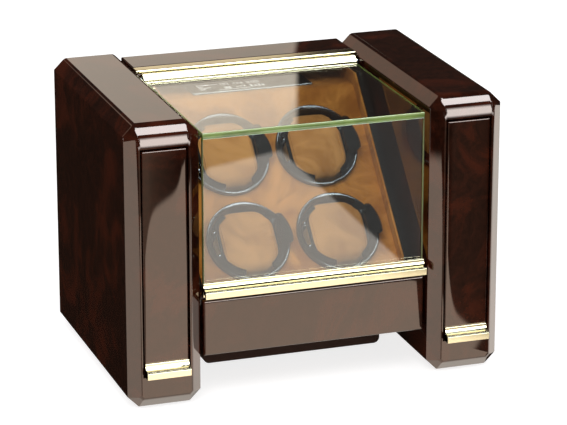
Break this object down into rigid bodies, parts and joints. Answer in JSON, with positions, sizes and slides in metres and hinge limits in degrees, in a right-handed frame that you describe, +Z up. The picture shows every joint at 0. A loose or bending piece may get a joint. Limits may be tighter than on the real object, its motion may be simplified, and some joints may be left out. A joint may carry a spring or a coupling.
{
  "type": "watch winder box",
  "caption": "Lacquered watch winder box: rotors on a sloping suede bed under a hinged glass hood, between two drawer towers, above a shallow accessory drawer.",
  "frame": {"origin": "centre of the footprint box at floor level, pulls included", "axes": "+X to the user's right facing the front, -Y out of the front, +Z up"},
  "size_m": [0.316, 0.2354, 0.235],
  "materials": {
    "lacquered_burl": "high gloss lacquer over dark red-brown burl veneer",
    "dark_lacquer": "high gloss very dark brown lacquer",
    "inner_wood": "satin",
    "brass": "polished",
    "suede": "brushed microfibre suede, matte",
    "black_gloss": "moulded, glossy",
    "glass": "clear float glass with green polished edges",
    "display": "black display window",
    "steel": "satin",
    "aluminium": "satin",
    "felt": "pressed felt",
    "black_plastic": "moulded, matte",
    "white_plastic": "acetal",
    "circuit": "solder mask",
    "cell": "printed sleeve, plain"
  },
  "bodies": {
    "root": {"left_pillar": "lacquered_burl", "right_pillar": "lacquered_burl", "felt_pads": "felt", "left_side_panel": "dark_lacquer", "right_side_panel": "dark_lacquer", "bay_spacers": "steel", "bay_bolts": "steel", "base_board": "inner_wood", "back_panel": "dark_lacquer", "back_screws": "steel", "top_rail": "lacquered_burl", "hinge_strip": "brass", "hinge_bushes": "brass", "front_sill": "dark_lacquer", "rotor_panel": "inner_wood", "shelf_board": "inner_wood", "suede_lining": "suede", "display_panel": "display", "chassis_plate": "aluminium", "chassis_pillars": "aluminium", "rotor_motors": "steel", "drawer_runners": "steel", "battery_housing": "dark_lacquer", "battery_door": "black_plastic", "battery_cells": "cell", "power_inlet": "black_plastic", "switch_body": "black_plastic", "control_board": "circuit"},
    "hood": {"hood_top_pane": "glass", "hood_front_pane": "glass", "hood_pull": "brass", "hood_rail": "brass", "hinge_pins": "steel"},
    "left_drawer": {"left_drawer_front": "lacquered_burl", "left_drawer_pull": "brass", "left_drawer_tray": "inner_wood"},
    "right_drawer": {"right_drawer_front": "lacquered_burl", "right_drawer_pull": "brass", "right_drawer_tray": "inner_wood"},
    "accessory_drawer": {"accessory_front": "lacquered_burl", "accessory_box": "inner_wood", "accessory_lining": "suede"},
    "power_switch": {"switch_rocker": "black_plastic"},
    "rotor_1": {"rotor_1": "black_gloss"},
    "pinion_1": {"pinion_1": "white_plastic"},
    "holder_1": {"holder_frame_1": "black_gloss", "holder_cushion_1": "suede"},
    "rotor_2": {"rotor_2": "black_gloss"},
    "pinion_2": {"pinion_2": "white_plastic"},
    "holder_2": {"holder_frame_2": "black_gloss", "holder_cushion_2": "suede"},
    "rotor_3": {"rotor_3": "black_gloss"},
    "pinion_3": {"pinion_3": "white_plastic"},
    "holder_3": {"holder_frame_3": "black_gloss", "holder_cushion_3": "suede"},
    "rotor_4": {"rotor_4": "black_gloss"},
    "pinion_4": {"pinion_4": "white_plastic"},
    "holder_4": {"holder_frame_4": "black_gloss", "holder_cushion_4": "suede"}
  },
  "joints": [
    {"name": "hood_hinge", "type": "hinge", "parent": "root", "child": "hood", "pos_m": [0, 0.06525, 0.2223], "axis": [-1, 0, 0], "range_deg": [0, 75]},
    {"name": "left_drawer_slide", "type": "slide", "parent": "root", "child": "left_drawer", "axis": [0, -1, 0], "range_m": [0, 0.15]},
    {"name": "right_drawer_slide", "type": "slide", "parent": "root", "child": "right_drawer", "axis": [0, -1, 0], "range_m": [0, 0.15]},
    {"name": "accessory_drawer_slide", "type": "slide", "parent": "root", "child": "accessory_drawer", "axis": [0, -1, 0], "range_m": [0, 0.14]},
    {"name": "power_switch_rock", "type": "hinge", "parent": "root", "child": "power_switch", "pos_m": [0.046, 0.11075, 0.0715], "axis": [0, 0, 1], "range_deg": [-9, 0]},
    {"name": "rotor_1_spin", "type": "hinge", "parent": "root", "child": "rotor_1", "pos_m": [-0.03875, 0.00257, 0.17247], "axis": [0, -0.7312, 0.6822], "continuous": true},
    {"name": "pinion_1_spin", "type": "hinge", "parent": "root", "child": "pinion_1", "pos_m": [-0.03875, 0.02167, 0.19294], "axis": [0, -0.7312, 0.6822], "continuous": true},
    {"name": "holder_1_lift", "type": "slide", "parent": "rotor_1", "child": "holder_1", "axis": [0, -0.7312, 0.6822], "range_m": [0, 0.02]},
    {"name": "rotor_2_spin", "type": "hinge", "parent": "root", "child": "rotor_2", "pos_m": [0.03875, 0.00257, 0.17247], "axis": [0, -0.7312, 0.6822], "continuous": true},
    {"name": "pinion_2_spin", "type": "hinge", "parent": "root", "child": "pinion_2", "pos_m": [0.03875, 0.02167, 0.19294], "axis": [0, -0.7312, 0.6822], "continuous": true},
    {"name": "holder_2_lift", "type": "slide", "parent": "rotor_2", "child": "holder_2", "axis": [0, -0.7312, 0.6822], "range_m": [0, 0.02]},
    {"name": "rotor_3_spin", "type": "hinge", "parent": "root", "child": "rotor_3", "pos_m": [-0.03875, -0.0503, 0.1158], "axis": [0, -0.7312, 0.6822], "continuous": true},
    {"name": "pinion_3_spin", "type": "hinge", "parent": "root", "child": "pinion_3", "pos_m": [-0.03875, -0.0312, 0.13628], "axis": [0, -0.7312, 0.6822], "continuous": true},
    {"name": "holder_3_lift", "type": "slide", "parent": "rotor_3", "child": "holder_3", "axis": [0, -0.7312, 0.6822], "range_m": [0, 0.02]},
    {"name": "rotor_4_spin", "type": "hinge", "parent": "root", "child": "rotor_4", "pos_m": [0.03875, -0.0503, 0.1158], "axis": [0, -0.7312, 0.6822], "continuous": true},
    {"name": "pinion_4_spin", "type": "hinge", "parent": "root", "child": "pinion_4", "pos_m": [0.03875, -0.0312, 0.13628], "axis": [0, -0.7312, 0.6822], "continuous": true},
    {"name": "holder_4_lift", "type": "slide", "parent": "rotor_4", "child": "holder_4", "axis": [0, -0.7312, 0.6822], "range_m": [0, 0.02]}
  ],
  "couplings": [
    {"joint": "pinion_1_spin", "follows": "rotor_1_spin", "ratio": -3},
    {"joint": "pinion_2_spin", "follows": "rotor_2_spin", "ratio": -3},
    {"joint": "pinion_3_spin", "follows": "rotor_3_spin", "ratio": -3},
    {"joint": "pinion_4_spin", "follows": "rotor_4_spin", "ratio": -3}
  ]
}
